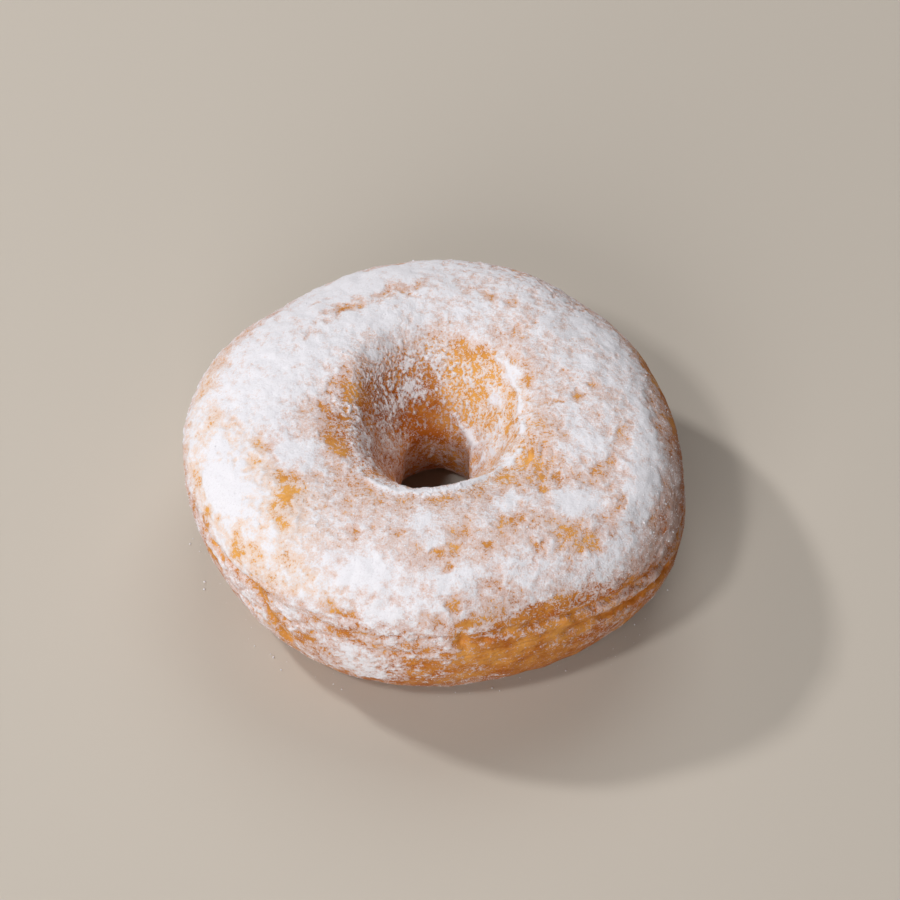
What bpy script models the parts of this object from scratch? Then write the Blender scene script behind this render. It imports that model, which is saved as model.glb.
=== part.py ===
"""A sugared ring doughnut of yeast dough: one solid, standing on its flat underside.

Metres, +Z up. The origin is under the middle of the ring, on the surface that it stands on. -Y is the
side that is nearest in the usual view, and +X is to the right.

The ring is one closed skin. Round the axis it is cut into upright sections, one for each azimuth, and
a section is a superellipse whose four quarters have their own fullness: the low dome on top, the deeper
and fuller belly under the waist, the shoulder that leads to the hole, and the wall under the throat. A
funnel cuts the shoulder short, so that the hole has a clear lip. Just above the waist runs the crease
that frying leaves where the two halves meet, and a few shallower folds run under it.
"""

import math

import bmesh
import bpy

MM = 0.001

# The ring's driving sizes.
WAIST_RADIUS = 48.0 * MM
WAIST_HEIGHT = 21.6 * MM
TOP_HEIGHT = 35.0 * MM
THROAT_RADIUS = 8.2 * MM
THROAT_HEIGHT = 18.8 * MM
THROAT_SHIFT_X = -0.3 * MM
THROAT_SHIFT_Y = -0.3 * MM
UNDERSIDE_TRIM = 0.9 * MM

# The funnel over the throat: its wall's slope in degrees, and how crisp its lip and its foot are.
FUNNEL_SLOPE = 57
LIP_CRISPNESS = 22
FOOT_CRISPNESS = 70
LIP_TURN = math.radians(135)
FUNNEL_INSET = 0.15 * MM

# How full each quarter of a section is: 2 is an ellipse, and more is squarer.
DOME_FULLNESS = 2.1
BELLY_FULLNESS = 2.6
SHOULDER_FULLNESS = 3.1
LOWER_WALL_FULLNESS = 3.0

# The crease round the outside: the belly under it stands back from the dome.
CREASE_HEIGHT = 23.2 * MM
CREASE_DEPTH = 0.85 * MM
CREASE_HALF_WIDTH = 1.4 * MM
BELLY_SETBACK = 0.5 * MM
SETBACK_BLEND = 2.0 * MM

# Folds of the skin under the crease: (azimuth in degrees, height) of both ends, depth, half width.
FOLDS = (
    ((222, 22.0 * MM), (233, 11.5 * MM), 0.7 * MM, 2.1 * MM),
    ((241, 19.0 * MM), (262, 19.6 * MM), 0.5 * MM, 1.4 * MM),
    ((302, 18.6 * MM), (331, 18.8 * MM), 0.6 * MM, 1.4 * MM),
)

# Unevenness round the ring: (waves in a full turn, size, azimuth of a crest in degrees).
RADIUS_WAVES = (
    (2, 0.9 * MM, 157),
    (3, 0.75 * MM, 78),
    (4, 0.6 * MM, 70),
    (5, 0.33 * MM, 33),
    (6, 0.24 * MM, 33),
)
TOP_WAVES = ((1, 0.4 * MM, 122), (2, 0.4 * MM, 149), (3, 0.4 * MM, 19), (5, 0.2 * MM, 65))
WAIST_WAVES = ((1, 0.6 * MM, 250), (3, 0.5 * MM, 300), (5, 0.3 * MM, 30))
THROAT_WAVES = ((2, 1.2 * MM, 81), (3, 0.2 * MM, 100), (5, 0.2 * MM, 40))
FUNNEL_WAVES = ((1, 6.5, 255), (2, 1.5, 0), (3, 1.5, 45))
CREASE_HEIGHT_WAVES = ((3, 0.8 * MM, 275),)
CREASE_DEPTH_WAVES = ((3, 0.25 * MM, 320), (4, 0.25 * MM, 300))

# Broad dents and swellings: (waves round the ring, waves round the section, size, phase in degrees).
SKIN_SWELLS = (
    (3, 2, 0.20 * MM, 40),
    (5, -3, 0.16 * MM, 110),
    (7, 2, 0.12 * MM, 205),
    (9, 4, 0.08 * MM, 330),
)

# The skin's grid: sections round the ring, and points round each section, closer together at the waist.
SECTIONS = 108
SECTION_POINTS = 50
WAIST_CROWDING = 0.3

# Golden fried crust, seen through a dusting of sugar.
CRUST_COLOUR = (0.80, 0.62, 0.45, 1.0)
CRUST_ROUGHNESS = 0.75


def wave_sum(waves, azimuth):
    """The sum of the waves (waves in a turn, size, azimuth of a crest) at an azimuth in radians."""
    return sum(size * math.cos(turns * (azimuth - math.radians(crest))) for turns, size, crest in waves)


def swell(azimuth, around):
    """How far the broad dents and swellings move the skin outwards."""
    return sum(
        size * math.cos(rings * azimuth + turns * around + math.radians(phase))
        for rings, turns, size, phase in SKIN_SWELLS
    )


def smooth_step(value):
    """0 below 0, 1 above 1, and an even S in between."""
    held = min(1.0, max(0.0, value))
    return held * held * (3.0 - 2.0 * held)


def superellipse_radius(around, half_width, half_height, fullness):
    """Distance from a superellipse's centre to its edge, in the direction of the angle around."""
    across = abs(math.cos(around) / half_width) ** fullness
    upwards = abs(math.sin(around) / half_height) ** fullness
    return (across + upwards) ** (-1.0 / fullness)


def funnel_nearness(azimuth, around, half_width):
    """One over the distance from a section's centre to the funnel's wall, or 0 where it isn't met."""
    square_to_wall = math.pi / 2 + math.radians(FUNNEL_SLOPE + wave_sum(FUNNEL_WAVES, azimuth))
    distance = (half_width - FUNNEL_INSET) * abs(math.cos(square_to_wall))
    return max(0.0, math.cos(around - square_to_wall)) / distance


def cut_short(reach, nearness, around):
    """A reach cut off by the funnel, with the corner rounded: softly at the lip, crisply at the foot."""
    past_lip = smooth_step((around - LIP_TURN) / (math.pi - LIP_TURN))
    crispness = LIP_CRISPNESS + (FOOT_CRISPNESS - LIP_CRISPNESS) * past_lip
    return (reach**-crispness + nearness**crispness) ** (-1.0 / crispness)


def section_point(azimuth, around):
    """(distance from the axis, height) of the skin; around is 0 at the waist, a quarter turn on top."""
    waist = WAIST_RADIUS + wave_sum(RADIUS_WAVES, azimuth)
    throat = (
        THROAT_RADIUS
        + wave_sum(THROAT_WAVES, azimuth)
        + THROAT_SHIFT_X * math.cos(azimuth)
        + THROAT_SHIFT_Y * math.sin(azimuth)
    )
    waist_height = WAIST_HEIGHT + wave_sum(WAIST_WAVES, azimuth)
    top_height = TOP_HEIGHT + wave_sum(TOP_WAVES, azimuth)
    middle = (waist + throat) / 2
    half_width = (waist - throat) / 2
    middle_height = (waist_height + THROAT_HEIGHT) / 2
    outside = math.cos(around) >= 0
    above = math.sin(around) >= 0
    if above:
        fullness = DOME_FULLNESS if outside else SHOULDER_FULLNESS
        half_height = top_height - middle_height
    else:
        fullness = BELLY_FULLNESS if outside else LOWER_WALL_FULLNESS
        half_height = middle_height + UNDERSIDE_TRIM
    reach = superellipse_radius(around, half_width, half_height, fullness) + swell(azimuth, around)
    if not outside:
        reach = cut_short(reach, funnel_nearness(azimuth, around, half_width), around)
    across = reach * math.cos(around)
    # The section leans, so that the throat and the waist keep their own heights.
    lean = (waist_height - THROAT_HEIGHT) / 2 * across / half_width * math.cos(around) ** 2
    height = middle_height + reach * math.sin(around) + lean
    if outside:
        across -= crease(azimuth, height) + folds(azimuth, height)
    return middle + across, max(height, 0.0)


def crease(azimuth, height):
    """How far the crease and the set-back belly under it pull the outside in."""
    above = height - CREASE_HEIGHT - wave_sum(CREASE_HEIGHT_WAVES, azimuth)
    depth = CREASE_DEPTH + wave_sum(CREASE_DEPTH_WAVES, azimuth)
    groove = depth * math.exp(-((above / CREASE_HALF_WIDTH) ** 2))
    return groove + BELLY_SETBACK * smooth_step(0.5 - above / SETBACK_BLEND)


def folds(azimuth, height):
    """How far the folds pull the outside in."""
    pull = 0.0
    for (start, low), (end, high), depth, half_width in FOLDS:
        run = WAIST_RADIUS * math.radians(end - start)
        rise = high - low
        along = WAIST_RADIUS * (azimuth - math.radians(start))
        share = (along * run + (height - low) * rise) / (run**2 + rise**2)
        share = min(1.0, max(0.0, share))
        gap = math.hypot(along - share * run, height - low - share * rise)
        pull += depth * math.exp(-((gap / half_width) ** 2))
    return pull


def ring_mesh(name):
    """The whole skin as a mesh of quads, shifted so that its box stands centred over the origin."""
    shape = bmesh.new()
    rings = []
    for section in range(SECTIONS):
        azimuth = math.tau * section / SECTIONS
        outwards = (math.cos(azimuth), math.sin(azimuth))
        ring = []
        for step in range(SECTION_POINTS):
            turn = math.tau * step / SECTION_POINTS
            radius, height = section_point(azimuth, turn - WAIST_CROWDING * math.sin(turn))
            ring.append(shape.verts.new((radius * outwards[0], radius * outwards[1], height)))
        rings.append(ring)
    for section, ring in enumerate(rings):
        beyond = rings[(section + 1) % SECTIONS]
        for step in range(SECTION_POINTS):
            after = (step + 1) % SECTION_POINTS
            shape.faces.new((ring[step], beyond[step], beyond[after], ring[after]))
    xs = [vert.co.x for vert in shape.verts]
    ys = [vert.co.y for vert in shape.verts]
    to_middle = (-(min(xs) + max(xs)) / 2, -(min(ys) + max(ys)) / 2, 0.0)
    bmesh.ops.translate(shape, verts=shape.verts, vec=to_middle)
    mesh = bpy.data.meshes.new(name)
    shape.to_mesh(mesh)
    shape.free()
    mesh.shade_smooth()
    return mesh


def crust_material():
    """Fried crust under its dusting of sugar, as one plain finish."""
    material = bpy.data.materials.new("sugared_crust")
    material.use_nodes = True
    shader = material.node_tree.nodes["Principled BSDF"]
    shader.inputs["Base Color"].default_value = CRUST_COLOUR
    shader.inputs["Roughness"].default_value = CRUST_ROUGHNESS
    shader.inputs["Metallic"].default_value = 0.0
    return material


def main():
    for obj in list(bpy.data.objects):
        bpy.data.objects.remove(obj)
    doughnut = bpy.data.objects.new("doughnut", ring_mesh("doughnut"))
    doughnut.data.materials.append(crust_material())
    bpy.context.scene.collection.objects.link(doughnut)


main()
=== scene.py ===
"""The looks of a sugared ring doughnut: golden fried dough under drifts of powdered sugar.

The dough is one skin with the solid's own form, finer, with the relief of its crease, wrinkles and coat of
sugar. It is cut into a crown, a belly and the wall of the hole, which meet point for point. Loose lumps and
grains of sugar lie on it. Every place on the ring is given by two angles: the azimuth round the ring (0 at
+X, 270 at the near side) and around, the turn round the section (0 at the waist, 90 on top, 180 at the
throat of the hole, -90 under the outer side).
"""

import math

import bpy
import numpy as np
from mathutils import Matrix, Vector, noise


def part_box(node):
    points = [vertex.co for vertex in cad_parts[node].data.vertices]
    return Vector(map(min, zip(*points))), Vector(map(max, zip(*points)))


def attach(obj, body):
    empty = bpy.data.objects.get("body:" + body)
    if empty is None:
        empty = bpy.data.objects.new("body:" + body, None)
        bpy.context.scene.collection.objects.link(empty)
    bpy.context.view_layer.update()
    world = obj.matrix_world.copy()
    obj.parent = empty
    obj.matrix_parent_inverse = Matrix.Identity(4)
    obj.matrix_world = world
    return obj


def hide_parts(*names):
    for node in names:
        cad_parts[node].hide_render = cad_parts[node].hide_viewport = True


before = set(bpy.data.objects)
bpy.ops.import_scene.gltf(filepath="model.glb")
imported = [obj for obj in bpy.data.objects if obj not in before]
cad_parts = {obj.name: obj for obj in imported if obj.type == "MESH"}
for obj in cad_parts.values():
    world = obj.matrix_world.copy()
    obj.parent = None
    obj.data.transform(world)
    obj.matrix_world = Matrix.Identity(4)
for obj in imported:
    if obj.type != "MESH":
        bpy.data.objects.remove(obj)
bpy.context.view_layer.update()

MM = 0.001

# ==== The dough's form: the same named sizes as the solid's ====
WAIST_RADIUS = 48.0 * MM
WAIST_HEIGHT = 21.6 * MM
TOP_HEIGHT = 35.0 * MM
THROAT_RADIUS = 8.2 * MM
THROAT_HEIGHT = 18.8 * MM
THROAT_SHIFT_X = -0.3 * MM
THROAT_SHIFT_Y = -0.3 * MM
UNDERSIDE_TRIM = 0.9 * MM

FUNNEL_SLOPE = 57
LIP_CRISPNESS = 22
FOOT_CRISPNESS = 70
LIP_TURN = math.radians(135)
FUNNEL_INSET = 0.15 * MM

DOME_FULLNESS = 2.1
BELLY_FULLNESS = 2.6
SHOULDER_FULLNESS = 3.1
LOWER_WALL_FULLNESS = 3.0

CREASE_HEIGHT = 23.2 * MM
CREASE_DEPTH = 0.85 * MM
CREASE_HALF_WIDTH = 1.4 * MM
BELLY_SETBACK = 0.5 * MM
SETBACK_BLEND = 2.0 * MM

# (azimuth in degrees, height) of both ends, depth, half width.
FOLDS = (
    ((222, 22.0 * MM), (233, 11.5 * MM), 0.7 * MM, 2.1 * MM),
    ((241, 19.0 * MM), (262, 19.6 * MM), 0.5 * MM, 1.4 * MM),
    ((302, 18.6 * MM), (331, 18.8 * MM), 0.6 * MM, 1.4 * MM),
)

# (waves in a full turn, size, azimuth of a crest in degrees).
RADIUS_WAVES = (
    (2, 0.9 * MM, 157),
    (3, 0.75 * MM, 78),
    (4, 0.6 * MM, 70),
    (5, 0.33 * MM, 33),
    (6, 0.24 * MM, 33),
)
TOP_WAVES = ((1, 0.4 * MM, 122), (2, 0.4 * MM, 149), (3, 0.4 * MM, 19), (5, 0.2 * MM, 65))
WAIST_WAVES = ((1, 0.6 * MM, 250), (3, 0.5 * MM, 300), (5, 0.3 * MM, 30))
THROAT_WAVES = ((2, 1.2 * MM, 81), (3, 0.2 * MM, 100), (5, 0.2 * MM, 40))
FUNNEL_WAVES = ((1, 6.5, 255), (2, 1.5, 0), (3, 1.5, 45))
CREASE_HEIGHT_WAVES = ((3, 0.8 * MM, 275),)
CREASE_DEPTH_WAVES = ((3, 0.25 * MM, 320), (4, 0.25 * MM, 300))

# (waves round the ring, waves round the section, size, phase in degrees).
SKIN_SWELLS = (
    (3, 2, 0.20 * MM, 40),
    (5, -3, 0.16 * MM, 110),
    (7, 2, 0.12 * MM, 205),
    (9, 4, 0.08 * MM, 330),
)

# ==== The fine skin: columns round the ring, and how each piece of it is cut into rows round the section ====
COLUMNS = 680

# (piece, around at its lower and at its upper edge in degrees, rows).
PIECES = (
    ("dusted_belly", -108, 3, 144),
    ("sugared_crown", 3, 131, 144),
    ("hole_wall", 131, 252, 112),
)

# The distance on the skin for a radian of around, which turns sizes into angles.
SECTION_REACH = 18 * MM

# The relief fades out below this height, and no loose sugar lies on the skin there.
FLOOR_CLEARANCE = 2.0 * MM

# Grooves of the dough, and ridges, which have a depth below 0: (places along it, depth, half width, cover
# added). A place is (azimuth, around) in degrees.
GROOVES = (
    # the deep line in the crease, from the left round the near side to the right
    (((204, 1), (209, 2), (214, 4), (217, 5.5), (220, 2.5)), 0.30 * MM, 0.5 * MM, -0.40),
    (((220, 2.5), (221, 0.5), (224.5, 1), (228, 4.5)), 0.45 * MM, 0.6 * MM, -0.45),
    (((255, 5), (259, 7), (262, 8.5), (266, 7.5)), 0.14 * MM, 0.6 * MM, -0.06),
    (((266, 7.5), (270.5, 9), (274, 8.5), (279, 7), (283, 7.5), (288, 8)), 0.24 * MM, 0.6 * MM, -0.24),
    (((288, 8), (292, 6.5), (297, 4.5), (302, 3.5), (307.5, 2.5), (313, 1.5)), 0.35 * MM, 0.6 * MM, -0.35),
    (((313, 1.5), (317, 1.2), (320.5, 1.8), (325, 0.6), (330, 2), (338, 2.5)), 0.40 * MM, 0.6 * MM, -0.35),
    # pits and slits beside it
    (((219.8, 3.6), (220.3, 2.4)), 0.45 * MM, 0.6 * MM, -0.45),
    (((257.3, 5.7), (258, 5.3)), 0.40 * MM, 0.5 * MM, -0.45),
    (((260.8, 9), (261.6, 8.4)), 0.45 * MM, 0.6 * MM, -0.55),
    (((268, 8), (269, 7.4)), 0.35 * MM, 0.6 * MM, -0.40),
    (((270, 10), (272.5, 9.6), (274.5, 9.2)), 0.45 * MM, 0.4 * MM, -0.55),
    (((277.5, 8.8), (281, 8.4)), 0.40 * MM, 0.4 * MM, -0.50),
    (((275.4, 11), (275.8, 6), (275.6, 2), (276.4, -1.5)), 0.50 * MM, 0.6 * MM, -0.60),
    (((276.8, 3.6), (279.5, 2), (282, 2.4)), 0.35 * MM, 0.4 * MM, -0.50),
    (((273.6, 3.5), (275.6, 3)), 0.35 * MM, 0.4 * MM, -0.50),
    # the fine lines under the near side's crease
    (((240, -8), (246, -6), (252, -4), (257, -1)), 0.30 * MM, 0.5 * MM, -0.15),
    (((266, -4), (268, -3)), 0.30 * MM, 0.9 * MM, -0.30),
    # the folds of the left side, which fan out downwards
    (
        ((223.4, -3), (225, -8), (226.6, -15.5), (228.7, -22), (230, -27), (232, -33)),
        0.50 * MM,
        0.7 * MM,
        -0.55,
    ),
    (((226.5, -9), (229, -17), (231.5, -22), (234, -26)), 0.30 * MM, 0.5 * MM, -0.35),
    (((225.5, -2), (229, -9), (232.5, -17), (236, -22)), 0.20 * MM, 0.4 * MM, -0.22),
    (((228, -1), (231, -6), (235, -12), (239, -16)), 0.16 * MM, 0.4 * MM, -0.16),
    (((231, -8), (235, -7.8), (238.2, -5.5)), 0.25 * MM, 0.45 * MM, -0.30),
    (((209, -16), (214, -17), (219, -21), (224, -22)), 0.40 * MM, 0.6 * MM, -0.35),
    (((201, -10), (203.8, -10.2), (207, -11)), 0.30 * MM, 0.5 * MM, -0.45),
    (((205.5, -1.6), (208.3, -1.8), (211, -3)), 0.25 * MM, 0.5 * MM, -0.45),
    # the roll under the right side's crease: its crest, and the finer groove under it
    (((283, 1), (288, 1), (296, -1), (301, -2)), -0.30 * MM, 0.9 * MM, 0.12),
    (((301, -2), (307, -3.5), (312.4, -5), (317, -6), (322, -6), (327, -5)), -0.35 * MM, 1.0 * MM, 0.10),
    (((310, -12), (316, -13), (320.5, -11.5), (325, -11), (331, -10)), 0.35 * MM, 0.6 * MM, -0.25),
    # the sugar heaped on the lip of the hole
    (((225, 120), (238, 121), (250, 122), (262, 123), (273, 123.5), (284, 125)), -0.26 * MM, 0.7 * MM, 0.34),
    (((284, 125), (295, 129), (316, 134), (337, 129), (352, 128.5)), -0.22 * MM, 0.6 * MM, 0.40),
    (((-8, 128.5), (10, 128), (30, 125.5), (53, 121)), -0.20 * MM, 0.6 * MM, 0.35),
    (((27, 176), (44.5, 176.5), (59, 175), (70, 171)), -0.30 * MM, 0.6 * MM, 0.35),
    (((168, 134), (180, 141), (189.5, 147.5), (213, 140.5), (228.5, 126)), -0.22 * MM, 0.9 * MM, 0.22),
    # creases of the skin beside the hole
    (((318, 118), (326, 122), (334, 124)), 0.25 * MM, 0.5 * MM, -0.16),
    (((322, 110), (331, 114), (340, 115)), 0.22 * MM, 0.5 * MM, -0.14),
    (((318, 102), (327, 106), (336, 107)), 0.18 * MM, 0.5 * MM, -0.10),
)

# Broad swellings, and dents, which have a height below 0: (azimuth, around, half its length, half its width,
# height), the angles in degrees.
SWELLINGS = (
    (343, 44, 24, 14, 0.45 * MM),
    (345, 13, 24, 9, -0.40 * MM),
    (329, 26, 9, 12, -0.30 * MM),
    (150, 26, 12, 16, 0.50 * MM),
    (8, 24, 9, 12, 0.35 * MM),
    (50, 30, 9, 14, -0.45 * MM),
    (126, 126, 20, 9, 0.62 * MM),
)

# Fine wrinkles beside the crease run along the ring: their length and width, how deep, and how far up and
# down the skin they reach, in degrees of around.
WRINKLE_LENGTH = 9.0 * MM
WRINKLE_WIDTH = 1.3 * MM
WRINKLE_DEPTH = 0.24 * MM
WRINKLE_REACH = 24

# A wrinkle runs where its cloud is nearer to 0 than this.
WRINKLE_LINE = 0.22

# How far a groove is followed, in half widths of it, and beyond the ends of its stretches, in degrees.
GROOVE_REACH = 3.0
GROOVE_MARGIN = 3.0

# Grooves are deeper in some stretches: how much, how long these are, and what the depth is kept between.
PINCH_AMOUNT = 0.9
PINCH_SIZE = 3.0 * MM
PINCH_RANGE = (0.3, 1.7)

# ==== The sugar: how thickly it lies ====
# A cover of 0 is bare dough, 0.5 a veil that the crust shows through, and 1 a white drift.

# (around in degrees, cover) round the section, and (azimuth in degrees, more or less cover) round the ring.
COVER_ROUND_SECTION = (
    (-110, 0.10), (-90, 0.10), (-60, 0.22), (-40, 0.38), (-20, 0.36), (0, 0.42), (20, 0.56), (40, 0.68),
    (70, 0.66), (95, 0.62), (112, 0.56), (130, 0.46), (160, 0.38), (180, 0.34), (200, 0.28), (230, 0.16),
    (252, 0.10),
)
COVER_ROUND_RING = (
    (0, 0.02), (45, 0.10), (90, 0.16), (140, 0.20), (180, 0.14), (215, 0.02), (250, -0.04), (290, -0.08),
    (330, -0.06), (360, 0.02),
)

# Drifts: (azimuth, around, half its length round the ring, half its width round the section, cover added),
# the angles in degrees.
DRIFTS = (
    # on the left flank and crown
    (202, 31, 8, 9, 0.50), (200, 38, 19, 18, 0.22), (201, 87, 6, 17, 0.30), (180, 78, 15, 17, 0.14),
    (214, 101, 6, 5, 0.20), (229, 76, 6, 7, 0.20),
    # on the near crown
    (250, 47, 6, 10, 0.42), (252, 40, 11, 17, 0.24), (265, 96, 6, 12, 0.26), (277, 49, 7, 11, 0.24),
    (294, 42, 8, 12, 0.22), (302, 103, 5, 8, 0.36), (269, 80, 4, 9, 0.22), (268, 50, 5, 8, 0.26),
    (248, 98, 12, 6, 0.18), (272, 100, 10, 9, 0.18), (309, 102, 8, 8, 0.22), (254, 23, 6, 5, 0.24),
    (267, 29, 5, 5, 0.24),
    # on the right crown and flank
    (320, 73, 6, 14, 0.40), (324, 64, 4, 7, 0.26), (343, 88, 8, 17, 0.30), (348, 75, 3, 5, 0.22),
    (358, 96, 8, 7, 0.18), (333, 34, 13, 15, 0.28), (313, 26, 9, 12, 0.22), (355, 47, 12, 10, 0.22),
    (25, 76, 8, 10, 0.20), (32, 46, 14, 10, 0.24), (44, 78, 8, 9, 0.28), (53, 114, 8, 5, 0.20),
    # on the back crown
    (100, 98, 22, 10, 0.18), (130, 88, 26, 14, 0.16), (115, 50, 30, 16, 0.18), (160, 72, 20, 20, 0.16),
    (127, 119, 8, 6, 0.34),
    # in the hole
    (107, 156, 10, 4, 0.55), (108, 134, 6, 5, 0.30), (88, 138, 4, 18, 0.20), (67, 146, 3, 4, 0.50),
    (49, 159, 5, 2.5, 0.34), (37, 144, 9, 6, 0.42), (49, 142, 4, 3, 0.30), (59, 165, 3, 2, 0.34),
    (38, 124, 9, 5, 0.44), (50, 176, 22, 4, 0.40), (10, 158, 12, 8, 0.30), (353, 160, 9, 10, 0.30),
    (356, 154, 8, 7, 0.18), (2, 127, 17, 6, 0.30), (325, 137, 10, 6, 0.24), (160, 165, 26, 12, 0.16),
    (200, 144, 8, 6, 0.30), (178, 134, 14, 4, 0.20), (158, 145, 7, 3, 0.26),
    # the near lip
    (241, 125, 16, 6, 0.34), (265, 125, 16, 6, 0.40), (289, 128, 14, 6, 0.30),
    # on the belly
    (256, -26, 14, 14, 0.22), (262, 8, 10, 6, 0.12), (236, -3, 7, 9, 0.42), (246, -11, 7, 7, 0.28),
    (253, -17, 7, 9, 0.26), (208, -7, 5, 5, 0.22), (271, 4, 3, 3, 0.25), (218, -14, 9, 12, 0.26),
    (301, -40, 6, 6, 0.26), (274, -41, 8, 6, 0.22), (285, -45, 24, 5, 0.18),
    # smaller ones all over
    (18, 171, 22, 10, 0.16), (300, -12, 12, 12, 0.07), (304, 4, 10, 8, 0.07), (45, 64, 14, 14, 0.14),
    (106, 119, 10, 7, 0.20), (209, -4, 3, 5, 0.22), (221, -4, 8, 4, 0.16), (225.5, -24, 4, 6, 0.20),
    (234, 14, 4, 8, 0.26), (236, -15, 5, 14, 0.15), (241, 76, 7, 8, 0.16), (252.5, -30, 7, 8, 0.20),
    (257.5, 4, 3, 6, 0.20), (258, 25, 3, 9, 0.22), (266, 19, 2.5, 4, 0.16), (271, 2, 4, 5, 0.24),
    (273, 74, 4, 10, 0.14), (279, 13, 3.5, 4, 0.18), (288.5, 103, 8, 16, 0.14), (306, 92, 12, 14, 0.14),
    (347, 23, 5, 12, 0.14), (23, 146, 9, 12, 0.18), (176, 131, 6, 8, 0.18), (200, 134, 8, 8, 0.18),
    (218, 123, 8, 6, 0.18), (216, 12, 8, 5, 0.20), (222, 25, 8, 5, 0.17), (227, -22, 4, 6, 0.17),
    (243, 17, 5, 7, 0.20), (250, 15, 6, 7, 0.18), (257, 16, 4, 8, 0.20), (254, -20, 7, 7, 0.16),
    (258, -8, 5, 6, 0.20), (269, -8, 4, 4, 0.20), (279, 7, 3, 6, 0.18), (265, 17, 3, 5, 0.16),
    (296, 30, 5, 10, 0.14), (316, 143, 5, 6, 0.15), (354, 147, 8, 12, 0.17), (358, 84, 8, 7, 0.16),
    (162, 17, 5, 5, 0.18), (345, 13, 26, 10, 0.26), (345, 44, 22, 12, 0.12), (268, -9, 4, 3, 0.16),
    (66, 173, 6, 5, 0.24), (67, 142, 4, 4, 0.26), (268, -9, 5, 4, 0.18), (289.6, 21, 2.5, 3, 0.25),
    (337, 166, 8, 7, 0.20), (13, 56, 4, 10, 0.12), (51, 154, 7, 8, 0.12), (52, 23, 5, 6, 0.13),
    (106, 170, 18, 8, 0.12), (114, 156, 8, 7, 0.12), (209, 114, 5, 7, 0.14), (225.5, 102, 6, 8, 0.12),
    (259.4, -12, 3, 6, 0.20), (262, -39, 3, 5, 0.14), (268, 5, 5, 5, 0.14), (311, 120, 12, 6, 0.12),
    (314, 142, 8, 7, 0.12), (330, 30, 5, 6, 0.16), (339, 98, 5, 7, 0.12), (349, 183, 20, 8, 0.12),
    (268, 35, 2.5, 8, 0.12), (270, -4, 5, 8, 0.13), (277, 25, 5, 6, 0.18), (279, 6, 4, 5, 0.22),
    (295, 23.4, 3, 3, 0.20), (224, -32, 12, 12, 0.12), (322, -18, 12, 9, 0.07),
)

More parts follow.
